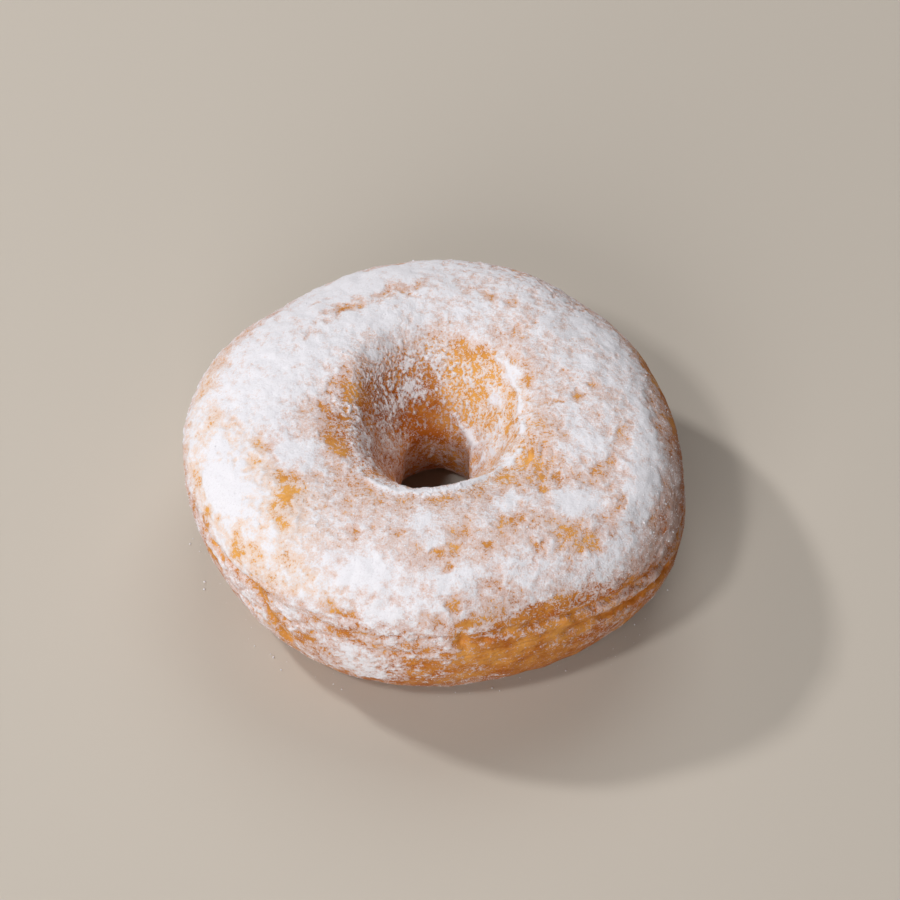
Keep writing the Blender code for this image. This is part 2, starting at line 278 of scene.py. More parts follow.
# Thin and bare spots, in the same way, with the cover taken away.
BARE_SPOTS = (
    # on the left flank and crown
    (216, 66, 3.5, 11, 0.52), (221, 51, 2.6, 4, 0.52), (192, 71, 4, 9, 0.34), (197, 63, 5, 7, 0.22),
    (209, 76, 5, 8, 0.30), (202, 120, 7, 7, 0.52), (174, 115, 4, 4, 0.52), (180, 129, 16, 10, 0.22),
    (179, 38, 5, 6, 0.34), (167, 24, 4, 7, 0.34), (194, 19, 4, 4, 0.44), (203, 14, 1.8, 6, 0.52),
    (197, 7, 1.6, 4, 0.50), (216, 18, 2.4, 6, 0.50), (228, 34, 3, 6, 0.30), (222, 25, 7, 5, 0.22),
    (222, -1, 5, 5, 0.36), (183, 50, 3, 6, 0.22), (205, 69, 7, 9, 0.28), (220, 49, 4, 6, 0.20),
    (213, 24, 4, 6, 0.16), (186, 120, 7, 8, 0.28), (160, 120, 8, 7, 0.32),
    # on the near crown
    (246, 18, 4, 3, 0.48), (251, 14, 2.4, 5, 0.44), (246, 1, 2, 4, 0.36), (236, 105, 17, 12, 0.16),
    (230, 80, 10, 12, 0.12), (241, 74, 3, 6, 0.30), (255, 83, 2, 3, 0.30), (268, 117, 12, 5, 0.06),
    (294, 119, 3, 5, 0.36), (270, 68, 2.2, 4, 0.52), (275, 70, 2.2, 5, 0.50), (287, 69, 2.6, 3.6, 0.52),
    (273, 59, 1.8, 4, 0.54), (280, 86, 3, 8, 0.30), (296, 83, 5, 5, 0.40), (301, 55, 1.6, 3, 0.46),
    (285, 41, 2.4, 4, 0.32), (274, 33, 3.2, 5, 0.40), (277, 20, 1.8, 4, 0.56), (275, 5, 5, 5, 0.40),
    (284, 23, 4, 4, 0.18), (293, 17, 5, 5, 0.24), (302, 15, 9, 5, 0.36), (229, 128, 6, 6, 0.20),
    # on the right crown and flank
    (309, 123, 4, 5, 0.40), (330, 124, 5, 4, 0.50), (315, 109, 9, 10, 0.16), (331, 109, 6, 10, 0.14),
    (317, 95, 2.3, 4, 0.52), (326, 95, 1.8, 3, 0.42), (322, 103, 2.6, 5, 0.30), (322, 89, 1.8, 3, 0.36),
    (335, 70, 3.4, 5, 0.36), (341, 67, 1.8, 3, 0.38), (311, 51, 5, 9, 0.26), (312, 57, 2.6, 4, 0.16),
    (314, 40, 5, 4, 0.26), (328, 47, 2.6, 3.4, 0.46), (352, 59, 4, 5, 0.20), (7, 103, 2.4, 2.6, 0.44),
    (8, 88, 3, 5, 0.42), (12, 75, 3, 5, 0.26), (8, 112, 2.6, 2.4, 0.26), (25, 116, 4, 3, 0.34),
    # the thin spots low on the right flank, at azimuth 345, 5 and 25, are partly painted shade: they brown
    # the flank that faces away from the light
    (331, 23, 5, 6, 0.26), (340, 24, 6, 6, 0.20), (345, 14, 12, 9, 0.36), (5, 16, 14, 9, 0.38),
    (25, 19, 12, 7, 0.34), (42, 75, 8, 8, 0.12),
    # on the back crown
    (54, 80, 4, 26, 0.18), (63, 74, 3, 7, 0.26), (71, 73, 3, 6, 0.32), (103, 72, 5, 7, 0.34),
    (96, 73, 3, 5, 0.28), (122, 75, 4.5, 4, 0.40), (128, 55, 2.4, 3, 0.30), (121, 72, 7, 5, 0.20),
    (144, 77, 4, 3, 0.28), (157, 29, 6, 9, 0.26),
    # in the hole; the thin spots on its shaded left and back walls and under the throat are partly painted
    # shade
    (65, 145, 21, 26, 0.26), (20, 136, 9, 5, 0.34), (4, 142, 8, 5, 0.28), (29, 155, 6, 6, 0.30),
    (104, 169, 18, 8, 0.40), (123, 147, 7, 3, 0.30), (150, 135, 12, 6, 0.34), (159, 126, 5, 4, 0.36),
    (137, 117, 3.5, 2.5, 0.30), (150, 115, 3.5, 3, 0.28), (97, 124, 14, 14, 0.16), (164, 138, 12, 10, 0.30),
    (112, 140, 12, 8, 0.24), (144, 171, 20, 12, 0.32), (105, 178, 24, 12, 0.34), (81, 178, 18, 10, 0.30),
    (97, 156, 8, 14, 0.22), (72, 127, 14, 6, 0.24), (50, 118, 12, 8, 0.24),
    # on the belly
    (227, -17, 1.8, 7, 0.40), (239, -13, 2.2, 6, 0.36), (230, -29, 2, 5, 0.36), (268, -15, 3.4, 5, 0.36),
    (289, -10, 16, 9, 0.42), (291, -29, 13, 7, 0.50), (303, -3, 7, 7, 0.26), (289, 2, 4, 4, 0.18),
    (280, -6, 7, 6, 0.18), (292, -43, 18, 6, 0.34), (306, -40, 8, 8, 0.26), (322, -26, 8, 9, 0.20),
    (290, 9, 14, 5, 0.40), (317, 6, 12, 4, 0.34), (323, -12, 16, 5, 0.24), (289, -18, 18, 14, 0.14),
    # smaller ones all over
    (46, 135, 8, 10, 0.18), (88, 195, 40, 16, 0.22), (90, 26, 60, 9, 0.16), (169, 145, 14, 12, 0.20),
    (140, 145, 24, 12, 0.16), (173, 183, 30, 18, 0.16), (179, 99, 9, 9, 0.16), (217, 64, 5, 12, 0.14),
    (233.5, 127, 14, 9, 0.15), (258, -39, 9, 5, 0.18), (266, -37, 6, 6, 0.34), (298, -43, 8, 5, 0.16),
    (303, -3, 5, 5, 0.16), (307, -39, 7, 6, 0.14), (357, 127, 8, 7, 0.14), (359, 31, 8, 14, 0.15),
    (100, 160, 8, 10, 0.16), (120, 72, 14, 8, 0.16), (268, -42, 7, 5, 0.18), (298, 77, 10, 10, 0.14),
    (338, 30, 6, 6, 0.15), (275, 19, 2.5, 4, 0.15), (20, 19, 5, 6, 0.16), (32, 71, 6, 10, 0.14),
    (37, 119, 6, 6, 0.14), (57, 103, 7, 12, 0.15), (104, 34, 8, 5, 0.18), (117, 126, 14, 6, 0.14),
    (141, 35, 10, 7, 0.20), (145, 77, 8, 8, 0.18), (192, 54, 10, 10, 0.16), (203, 71, 9, 9, 0.16),
    (264, -12, 5, 8, 0.18), (319, 45, 8, 5, 0.14), (333, 58, 5, 8, 0.10), (287.5, 66, 3, 5, 0.25),
    (333, 84, 5, 5, 0.22), (340, 73, 4, 6, 0.20), (345, 119, 5, 5, 0.22), (350, 101, 9, 5, 0.18),
    (357, 127, 6, 6, 0.18), (44, 138, 5, 5, 0.20), (71, 134, 6, 7, 0.26), (110, 144, 6, 8, 0.18),
    (182, 122, 5, 7, 0.20), (192, 116, 5, 6, 0.20), (205, 126, 5, 5, 0.20), (242, -1, 4, 4, 0.22),
    (247, 21, 3, 4, 0.28), (262, -15, 6, 12, 0.18), (267, 3, 4, 4, 0.24), (275, 17, 2.5, 4, 0.22),
    (235.6, 34, 2.5, 3, 0.24), (316, -4, 3, 3, 0.24), (67, 34, 8, 5, 0.22), (103, 34, 8, 4, 0.14),
    (143, 31, 8, 8, 0.18), (326, 46, 5, 5, 0.16), (328, 21, 6, 8, 0.14), (345, 31, 16, 6, 0.14),
    (14, 20, 12, 8, 0.18), (257, -40, 5, 5, 0.16), (268, -38, 7, 6, 0.16), (4, 34, 8, 9, 0.13),
    (70, 124, 8, 6, 0.16), (136, 124, 10, 6, 0.12), (151, 120, 6, 5, 0.14), (211, 85, 4, 10, 0.12),
    (216.5, 28, 5, 7, 0.13), (239, 36, 4, 7, 0.12), (280, 20, 3, 4, 0.18), (339, -2, 8, 9, 0.17),
    (348, 11, 8, 5, 0.18), (358, 57, 9, 8, 0.13), (267, -25, 6, 6, 0.13), (270.5, 20.5, 3, 4, 0.16),
    (281, 19, 3, 4, 0.12), (299.6, -40, 6, 5, 0.14), (230, -18, 3, 14, 0.14),
)

# The cover of bare crust. No bare spot or groove takes it lower.
THINNEST_COVER = 0.0

# How far the edges of drifts and spots wander, how far grooves do, and the mottling, all as (size, amount).
EDGE_WANDER = ((3.2 * MM, 1.3 * MM), (1.3 * MM, 0.6 * MM))
GROOVE_WANDER = ((2.6 * MM, 0.40 * MM), (0.9 * MM, 0.22 * MM))
MOTTLES = ((9.0 * MM, 0.07), (4.0 * MM, 0.12), (2.0 * MM, 0.20), (1.1 * MM, 0.16))

# How strong the mottling is: round the section, and more or less of it in places.
MOTTLE_ROUND_SECTION = (
    (-110, 1.3), (-30, 1.6), (0, 1.5), (25, 1.2), (60, 1.0), (115, 1.0), (135, 1.4), (252, 1.4),
)
MOTTLE_PLACES = (
    (205, 45, 24, 32, 0.7),
    (110, 75, 50, 24, 0.5),
    (270, 74, 24, 30, -0.3),
    (341, 14, 22, 12, -0.8),
    (318, -8, 20, 16, -0.9),
)

# Clumps of sugar with bare crust between them: their size and height, the cover that they add, and where.
CLUMP_SIZE = 0.65 * MM
CLUMP_HEIGHT = 0.11 * MM
CLUMP_COVER = 1.0
CLUMPY_PLACES = (
    (130, 142, 46, 20, 0.9),
    (195, 138, 25, 12, 0.5),
    (60, 140, 34, 20, 0.4),
    (95, 170, 50, 12, 0.7),
    (255, 124, 35, 6, 0.6),
    (235, -12, 30, 20, 0.25),
    (268, -25, 22, 18, 0.3),
    (330, 22, 16, 12, 0.15),
    (65, 42, 30, 14, 0.5),
    (268, 10, 32, 7, 0.3),
)

# How strongly fine grain breaks the cover up: round the section, and more or less of it in places.
GRAIN_ROUND_SECTION = (
    (-110, 0.75), (-40, 0.75), (0, 0.70), (25, 0.65), (60, 0.62), (115, 0.70), (132, 1.10), (170, 1.10),
    (252, 0.8),
)
GRAIN_PLACES = (
    (203, 45, 26, 40, -0.14),
    (250, 45, 14, 16, -0.14),
    (160, 90, 30, 30, -0.06),
    (130, 145, 50, 26, 0.10),
    (300, 14, 22, 10, 0.20),
    (342, 14, 24, 13, -0.42),
    (318, -8, 20, 16, -0.32),
)

# How deeply the crust is fried, from 0, light gold, to 1, dark caramel, in the same two ways, with painted
# light and shade in some places.
TONE_ROUND_SECTION = (
    (-110, 0.90), (-60, 0.90), (-35, 0.85), (-12, 0.75), (2, 0.65), (10, 0.70), (22, 0.45), (60, 0.36),
    (115, 0.34), (135, 0.20), (165, 0.22), (185, 0.50), (225, 0.80), (252, 0.85),
)
TONE_AND_SHADING_PLACES = (
    # painted shade: the left and back walls of the hole, which face away from the light, are made deeper
    (136, 152, 42, 26, 0.76),
    # painted shade: the shaded left wall of the hole is made deeper
    (205, 152, 40, 30, 0.50),
    (270, 165, 50, 30, 0.15),
    # painted light: the lit right wall of the hole is made lighter
    (40, 145, 44, 22, -0.34),
    (205, 45, 28, 40, -0.30),
    (221, 7, 16, 40, -0.28),
    (300, -12, 26, 20, 0.10),
    # painted shade: the shaded back of the throat is made deeper
    (100, 174, 24, 14, 0.55),
    (178, 18, 34, 26, -0.30),
    (196, 82, 14, 14, 0.22),
    # painted light (this row and the next two): the near belly under the crease is made lighter in place of
    # light bounced up onto it
    (288, -12, 20, 16, -0.14),
    (290, -24, 16, 14, -0.16),
    (303, -8, 12, 16, -0.18),
    # painted light: the left belly is made lighter
    (246, -14, 20, 20, -0.12),
    # painted shade: the right flank, which faces away from the light, is made browner
    (348, 15, 34, 18, 0.50),
    (178, 121, 22, 9, 0.24),
    # painted light: the lower left belly is made lighter in place of light bounced up onto it
    (230, -36, 20, 20, -0.35),
    (238, 26, 14, 14, -0.20),
)

# How thick the coat of sugar is where it is whole, at what cover it starts, and how much more makes it whole.
COAT_THICKNESS = 0.18 * MM
COAT_START = 0.30
COAT_RISE = 0.6

# Soft unevenness of the skin and clumps of the coat, both as (size, height).
SKIN_LUMPS = ((5.0 * MM, 0.24 * MM), (1.6 * MM, 0.06 * MM))
COAT_CLUMPS = ((1.5 * MM, 0.06 * MM), (0.75 * MM, 0.042 * MM), (3.2 * MM, 0.16 * MM))

# Where loose lumps lie closer together than elsewhere, in the way of the drifts.
LUMPY_PLACES = (
    (185, 138, 40, 16, 0.8),
    (160, 130, 20, 14, 0.5),
    (255, 124, 35, 6, 2.0),
    (320, 128, 30, 6, 1.0),
    (105, 150, 16, 10, 2.5),
    (40, 140, 18, 12, 1.5),
    (80, 176, 60, 8, 2.0),
    (270, -34, 16, 9, 2.5),
    (222, -2, 12, 8, 1.0),
    (265, 9, 14, 8, 1.5),
    (300, 6, 24, 7, 1.0),
    (320, 25, 14, 12, 1.0),
    (345, 20, 16, 14, 0.8),
)

# How thickly lumps and grains lie outside those places, in the same measure.
EVEN_LUMPS = 0.15
EVEN_GRAINS = 0.3

# The cover where lumps start to lie, and how much more brings all of them. Grains start where sugar does.
LUMP_START = 0.30
LUMP_RISE = 0.5
GRAIN_RISE = 0.6

# Loose sugar on the skin: (piece, how many, smallest and largest radius, the share that is sunk in, seed).
LUMPS = ("sugar_lumps", 700, 0.10 * MM, 0.26 * MM, 0.60, 5)
GRAINS = ("sugar_grains", 16000, 0.06 * MM, 0.13 * MM, 0.45, 6)

# Sugar on the floor: (piece, how many, smallest and largest radius, seed), the radius where it starts, how
# far out from there it fell, and how high a lump's centre lies, as a share of its radius.
FALLEN_SUGAR = ("fallen_sugar", 140, 0.07 * MM, 0.26 * MM, 7)
FOOT_RADIUS = 39.0 * MM
FALLEN_REACH = 8.5 * MM
FALLEN_HEIGHT = 0.6

# How uneven loose sugar is, how far it is stretched each way, and the power that makes most of it small.
LOOSE_UNEVENNESS = 0.28
LOOSE_STRETCH = (0.75, 1.2)
SMALLNESS = 3


def wave_sum(waves, azimuth):
    """The sum of the waves (waves in a turn, size, azimuth of a crest) at each azimuth in radians."""
    return sum(size * np.cos(turns * (azimuth - math.radians(crest))) for turns, size, crest in waves)


def swell(azimuth, around):
    """How far the broad dents and swellings move the skin outwards."""
    return sum(
        size * np.cos(rings * azimuth + turns * around + math.radians(phase))
        for rings, turns, size, phase in SKIN_SWELLS
    )


def smooth_step(value):
    """0 below 0, 1 above 1, and an even S in between."""
    held = np.clip(value, 0.0, 1.0)
    return held * held * (3.0 - 2.0 * held)


def superellipse_radius(around, half_width, half_height, fullness):
    """The distance from the centre to a superellipse; a fullness of 2 is an ellipse, more is squarer."""
    across = np.abs(np.cos(around) / half_width) ** fullness
    upwards = np.abs(np.sin(around) / half_height) ** fullness
    return (across + upwards) ** (-1.0 / fullness)


def funnel_nearness(azimuth, around, half_width):
    """One over the distance from a section's centre to the funnel's wall, or 0 where it isn't met."""
    square_to_wall = math.pi / 2 + np.radians(FUNNEL_SLOPE + wave_sum(FUNNEL_WAVES, azimuth))
    distance = (half_width - FUNNEL_INSET) * np.abs(np.cos(square_to_wall))
    return np.maximum(0.0, np.cos(around - square_to_wall)) / distance


def cut_short(reach, nearness, around):
    """A reach cut off by the funnel: softly at the lip, crisply at the foot."""
    past_lip = smooth_step((around - LIP_TURN) / (math.pi - LIP_TURN))
    crispness = LIP_CRISPNESS + (FOOT_CRISPNESS - LIP_CRISPNESS) * past_lip
    return (reach**-crispness + nearness**crispness) ** (-1.0 / crispness)


def section_point(azimuth, around):
    """(distance from the axis, height) of the bare dough, for arrays of angles in radians."""
    waist = WAIST_RADIUS + wave_sum(RADIUS_WAVES, azimuth)
    throat = THROAT_RADIUS + wave_sum(THROAT_WAVES, azimuth)
    throat = throat + THROAT_SHIFT_X * np.cos(azimuth) + THROAT_SHIFT_Y * np.sin(azimuth)
    waist_height = WAIST_HEIGHT + wave_sum(WAIST_WAVES, azimuth)
    top_height = TOP_HEIGHT + wave_sum(TOP_WAVES, azimuth)
    middle = (waist + throat) / 2
    half_width = (waist - throat) / 2
    middle_height = (waist_height + THROAT_HEIGHT) / 2
    outside = np.cos(around) >= 0
    above = np.sin(around) >= 0
    upper_fullness = np.where(outside, DOME_FULLNESS, SHOULDER_FULLNESS)
    lower_fullness = np.where(outside, BELLY_FULLNESS, LOWER_WALL_FULLNESS)
    fullness = np.where(above, upper_fullness, lower_fullness)
    half_height = np.where(above, top_height - middle_height, middle_height + UNDERSIDE_TRIM)
    reach = superellipse_radius(around, half_width, half_height, fullness) + swell(azimuth, around)
    inner_reach = cut_short(reach, funnel_nearness(azimuth, around, half_width), around)
    reach = np.where(outside, reach, inner_reach)
    across = reach * np.cos(around)
    lean = (waist_height - THROAT_HEIGHT) / 2 * across / half_width * np.cos(around) ** 2
    height = middle_height + reach * np.sin(around) + lean
    pulled_in = crease(azimuth, height) + folds(azimuth, height)
    across = np.where(outside, across - pulled_in, across)
    return middle + across, np.maximum(height, 0.0)


def crease(azimuth, height):
    """How far the crease and the set-back belly under it pull the outside in."""
    above = height - CREASE_HEIGHT - wave_sum(CREASE_HEIGHT_WAVES, azimuth)
    depth = CREASE_DEPTH + wave_sum(CREASE_DEPTH_WAVES, azimuth)
    groove = depth * np.exp(-((above / CREASE_HALF_WIDTH) ** 2))
    return groove + BELLY_SETBACK * smooth_step(0.5 - above / SETBACK_BLEND)


def folds(azimuth, height):
    """How far the folds pull the outside in."""
    pull = 0.0
    for (start, low), (end, high), depth, half_width in FOLDS:
        run = WAIST_RADIUS * math.radians(end - start)
        rise = high - low
        along = WAIST_RADIUS * (azimuth - math.radians(start))
        share = np.clip((along * run + (height - low) * rise) / (run**2 + rise**2), 0.0, 1.0)
        gap = np.hypot(along - share * run, height - low - share * rise)
        pull = pull + depth * np.exp(-((gap / half_width) ** 2))
    return pull


# ==== Unevenness ====
# Which cloud of noise each thing follows. Another number gives the same kind of unevenness in other places.
SKIN_CLOUD = 3.0
EDGE_CLOUD_ROUND_RING = 11.0
COAT_CLOUD = 29.0
EDGE_CLOUD_ROUND_SECTION = 37.0
MOTTLE_CLOUD = 53.0
CLUMP_CLOUD = 61.0
WRINKLE_CLOUD = 71.0
GROOVE_CLOUD = 91.0
PINCH_CLOUD = 97.0

# How far on in x, y and z the next number's cloud lies, and the step between the clouds of one sum.
CLOUD_STRIDES = (1.0, 1.7, 2.3)
CLOUD_STEP = 7.0

# How fast the layers of a cloud fade, how many times finer each is than the last, and how many there are.
CLOUD_FORM = (1.0, 2.0, 2)


def mottle(points, size, cloud_number):
    """Cloudy noise at each point, about -1 to 1, in lumps of the given size."""
    offset = Vector([cloud_number * stride for stride in CLOUD_STRIDES])
    flat = (points.reshape(-1, 3) / size).tolist()
    values = [noise.fractal(Vector(point) + offset, *CLOUD_FORM) for point in flat]
    return np.array(values).reshape(points.shape[:-1])


def layered_mottle(points, layers, cloud_number):
    """The sum of the clouds (size, amount)."""
    total = 0.0
    for step, (size, amount) in enumerate(layers):
        total = total + amount * mottle(points, size, cloud_number + CLOUD_STEP * step)
    return total


def turn_between(angle, middle):
    """The shortest turn from middle to angle, both in degrees."""
    return (angle - middle + 180.0) % 360.0 - 180.0


# A place ends where the square of the distance from it, in its half widths, passes the first value. The
# second says how crisp its edge is: 1 would be a bell curve.
PLACE_END = 3.5
PLACE_CRISPNESS = 1.3


def add_places(amount, azimuth, around, places, times=1.0):
    """Adds places (azimuth, around, half length, half width, amount) with soft edges; angles in degrees."""
    for middle, height, half_length, half_width, more in places:
        along = turn_between(azimuth, middle) / half_length
        across = turn_between(around, height) / half_width
        away = along**2 + across**2
        near = away < PLACE_END
        amount[near] += times * more * np.exp(-(away[near] ** PLACE_CRISPNESS))


def round_section(around, steps):
    """An amount that goes with around, read between the steps (around, amount)."""
    places, amounts = zip(*steps)
    return np.interp(around, places, amounts)


# A distance that is out of every groove's reach.
FAR_AWAY = 1.0


def distance_to_line(azimuth, around, line):
    """The distance on the skin to a line of (azimuth, around) places, or FAR_AWAY well past its ends."""
    nearest = np.full(azimuth.shape, FAR_AWAY)
    for (start, low), (end, high) in zip(line, line[1:]):
        along = turn_between(azimuth, start)
        near = (along > -GROOVE_MARGIN) & (along < max(end - start, 0.0) + GROOVE_MARGIN)
        along = np.radians(along[near]) * WAIST_RADIUS
        across = np.radians(around[near] - low) * SECTION_REACH
        run = math.radians(end - start) * WAIST_RADIUS
        rise = math.radians(high - low) * SECTION_REACH
        share = np.clip((along * run + across * rise) / (run**2 + rise**2), 0.0, 1.0)
        gap = np.hypot(along - share * run, across - share * rise)
        nearest[near] = np.minimum(nearest[near], gap)
    return nearest


def sugar_cover(azimuth, around, points):
    """How thickly sugar lies at each point of the skin; the angles are in degrees."""
    radius = np.hypot(points[..., 0], points[..., 1])
    wander = layered_mottle(points, EDGE_WANDER, EDGE_CLOUD_ROUND_RING)
    azimuth = azimuth + np.degrees(wander / radius)
    wander = layered_mottle(points, EDGE_WANDER, EDGE_CLOUD_ROUND_SECTION)
    around = around + np.degrees(wander / SECTION_REACH)
    ring_places, ring_cover = zip(*COVER_ROUND_RING)
    cover = round_section(around, COVER_ROUND_SECTION)
    cover += np.interp(azimuth % 360.0, ring_places, ring_cover)
    add_places(cover, azimuth, around, DRIFTS)
    add_places(cover, azimuth, around, BARE_SPOTS, -1.0)
    patchiness = round_section(around, MOTTLE_ROUND_SECTION)
    add_places(patchiness, azimuth, around, MOTTLE_PLACES)
    return cover + patchiness * layered_mottle(points, MOTTLES, MOTTLE_CLOUD)


def wrinkle_relief(azimuth, around):
    """Fine wrinkles along the ring beside the crease, as a height below 0; the angles are in degrees."""
    turn = np.radians(azimuth)
    circle = WAIST_RADIUS / WRINKLE_LENGTH
    across = np.radians(around) * SECTION_REACH / WRINKLE_WIDTH
    stretched = np.stack([circle * np.cos(turn), circle * np.sin(turn), across], axis=-1)
    folded = np.abs(mottle(stretched, 1.0, WRINKLE_CLOUD))
    lines = 1.0 - smooth_step(folded / WRINKLE_LINE)
    fading = np.exp(-((around / WRINKLE_REACH) ** 4))
    return -WRINKLE_DEPTH * lines * fading


def cut_grooves(azimuth, around, points, relief, cover):
    """Cuts the grooves into the relief and changes the cover along them; the angles are in degrees."""
    bent = around + np.degrees(layered_mottle(points, GROOVE_WANDER, GROOVE_CLOUD) / SECTION_REACH)
    pinched = np.clip(1.0 + PINCH_AMOUNT * mottle(points, PINCH_SIZE, PINCH_CLOUD), *PINCH_RANGE)
    for line, depth, half_width, more in GROOVES:
        gap = distance_to_line(azimuth, bent, line)
        near = gap < GROOVE_REACH * half_width
        nearness = np.exp(-((gap[near] / half_width) ** 2)) * pinched[near]
        relief[near] -= depth * nearness
        cover[near] += more * nearness


# ==== The skin ====
def outward_normals(points):
    """Unit normals of a grid of points that closes on itself both ways."""
    along_ring = np.roll(points, -1, axis=1) - np.roll(points, 1, axis=1)
    up_section = np.roll(points, -1, axis=0) - np.roll(points, 1, axis=0)
    normals = np.cross(along_ring, up_section)
    return normals / np.linalg.norm(normals, axis=2, keepdims=True)


def skin_rows():
    """The around of every row in degrees, once round the section, and each piece's first and last row."""
    rows = []
    spans = []
    for name, low, high, count in PIECES:
        spans.append((name, len(rows), len(rows) + count))
        rows.extend(low + (high - low) * step / count for step in range(count))
    return np.array(rows), spans


def skin_grid():
    """The finished skin as a grid: points, normals and the amounts that the finish reads."""
    rows, spans = skin_rows()
    columns = np.arange(COLUMNS) * 360.0 / COLUMNS
    azimuth, around = np.meshgrid(columns, rows)
    turn = np.radians(azimuth)
    radius, height = section_point(turn, np.radians(around))
    points = np.stack([radius * np.cos(turn), radius * np.sin(turn), height], axis=2)
    low, high = (np.array(corner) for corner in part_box("doughnut"))
    middle = (points.min(axis=(0, 1)) + points.max(axis=(0, 1))) / 2
    shift = (low + high) / 2 - middle
    shift[2] = 0.0
    normals = outward_normals(points)
    cover = sugar_cover(azimuth, around, points)
    off_floor = smooth_step(points[..., 2] / FLOOR_CLEARANCE)
    relief = layered_mottle(points, SKIN_LUMPS, SKIN_CLOUD) + wrinkle_relief(azimuth, around)
    add_places(relief, azimuth, around, SWELLINGS)
    clumping = np.zeros(cover.shape)
    add_places(clumping, azimuth, around, CLUMPY_PLACES)
    clumps = clumping * mottle(points, CLUMP_SIZE, CLUMP_CLOUD)
    cover += CLUMP_COVER * clumps
    relief += CLUMP_HEIGHT * clumps
    cut_grooves(azimuth, around, points, relief, cover)
    cover = np.maximum(cover, THINNEST_COVER)
    coat = smooth_step((cover - COAT_START) / COAT_RISE)
    relief += COAT_THICKNESS * coat + layered_mottle(points, COAT_CLUMPS, COAT_CLOUD) * coat
    points = points + normals * (relief * off_floor)[..., None]
    points[..., 2] = np.maximum(points[..., 2], 0.0)
    grain = round_section(around, GRAIN_ROUND_SECTION)
    add_places(grain, azimuth, around, GRAIN_PLACES)
    tone = round_section(around, TONE_ROUND_SECTION)
    add_places(tone, azimuth, around, TONE_AND_SHADING_PLACES)
    points = points + shift
    return {
        "spans": spans,
        "points": points,
        "normals": outward_normals(points),
        "azimuth": azimuth,
        "around": around,
        "sugar_cover": cover,
        "sugar_grain": grain,
        "crust_tone_and_shading": tone,
    }


def new_piece(name, vertices, faces, material):
    """A smooth mesh of arrays of vertices and faces."""
    mesh = bpy.data.meshes.new(name)
    mesh.from_pydata(vertices.reshape(-1, 3).tolist(), [], faces.tolist())
    mesh.shade_smooth()
    mesh.materials.append(material)
    piece = bpy.data.objects.new(name, mesh)
    bpy.context.scene.collection.objects.link(piece)
    return piece


# What the finish reads from the skin.
AMOUNTS = ("sugar_cover", "sugar_grain", "crust_tone_and_shading")


def skin_piece(name, grid, first, last, material):
    """The rows from first to last of the skin as a piece, with its normals and the amounts on it."""
    rows = np.arange(first, last + 1) % len(grid["points"])
    columns = grid["points"].shape[1]
    number = np.arange(len(rows) * columns).reshape(len(rows), columns)
    beyond = np.roll(number, -1, axis=1)
    quads = np.stack([number[:-1], beyond[:-1], beyond[1:], number[1:]], axis=2).reshape(-1, 4)
    piece = new_piece(name, grid["points"][rows], quads, material)
    piece.data.normals_split_custom_set_from_vertices(grid["normals"][rows].reshape(-1, 3).tolist())
    for amount in AMOUNTS:
        stored = piece.data.attributes.new(amount, "FLOAT", "POINT")
        stored.data.foreach_set("value", grid[amount][rows].astype(np.float32).ravel())
    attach(piece, "root")
    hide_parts("doughnut")


# ==== Loose sugar ====
# The corners of a lump, an icosahedron, and of a grain, an octahedron.
GOLDEN_RATIO = (1 + math.sqrt(5)) / 2
LUMP_CORNERS = np.array(
    [(0, a, b * GOLDEN_RATIO) for a in (-1, 1) for b in (-1, 1)]
    + [(a, b * GOLDEN_RATIO, 0) for a in (-1, 1) for b in (-1, 1)]
    + [(b * GOLDEN_RATIO, 0, a) for a in (-1, 1) for b in (-1, 1)]
) / math.hypot(1, GOLDEN_RATIO)
GRAIN_CORNERS = np.array([(1, 0, 0), (-1, 0, 0), (0, 1, 0), (0, -1, 0), (0, 0, 1), (0, 0, -1)], float)

# Corners are neighbours when they are no further apart than this many times the least distance.
SAME_DISTANCE = 1.01


def outer_sides(corners):
    """The triangles of a convex solid with equal sides, turned outwards, from its corners."""
    spans = [np.linalg.norm(a - b) for index, a in enumerate(corners) for b in corners[:index]]
    side = min(spans) * SAME_DISTANCE
    near = [[np.linalg.norm(a - b) < side for b in corners] for a in corners]
    sides = []
    for a in range(len(corners)):
        for b in range(a + 1, len(corners)):
            for c in range(b + 1, len(corners)):
                if near[a][b] and near[b][c] and near[a][c]:
                    square = np.cross(corners[b] - corners[a], corners[c] - corners[a])
                    outwards = square @ (corners[a] + corners[b] + corners[c]) > 0
                    sides.append((a, b, c) if outwards else (a, c, b))
    return np.array(sides)


def pick_places(grid, weights, count, chance):
    """Places on the skin picked by weight, each with its normal."""
    points = grid["points"]
    beyond = np.roll(points, -1, axis=1)
    after = np.roll(points, -1, axis=0)
    cell_areas = np.linalg.norm(np.cross(beyond - points, after - points), axis=2)
    shares = (weights * cell_areas).ravel()
    picked = chance.choice(shares.size, count, p=shares / shares.sum())
    row, column = np.unravel_index(picked, weights.shape)
    start = points[row, column]
    sideways = beyond[row, column] - start
    upwards = after[row, column] - start
    places = start + sideways * chance.random((count, 1)) + upwards * chance.random((count, 1))
    return places, grid["normals"][row, column]


def random_turns(count, chance):
    """Random turns as matrices, from random quaternions."""
    quaternions = chance.normal(size=(4, count))
    w, x, y, z = quaternions / np.linalg.norm(quaternions, axis=0)
    return np.stack(
        [
            np.stack([1 - 2 * (y * y + z * z), 2 * (x * y - z * w), 2 * (x * z + y * w)], axis=1),
            np.stack([2 * (x * y + z * w), 1 - 2 * (x * x + z * z), 2 * (y * z - x * w)], axis=1),
            np.stack([2 * (x * z - y * w), 2 * (y * z + x * w), 1 - 2 * (x * x + y * y)], axis=1),
        ],
        axis=1,
    )


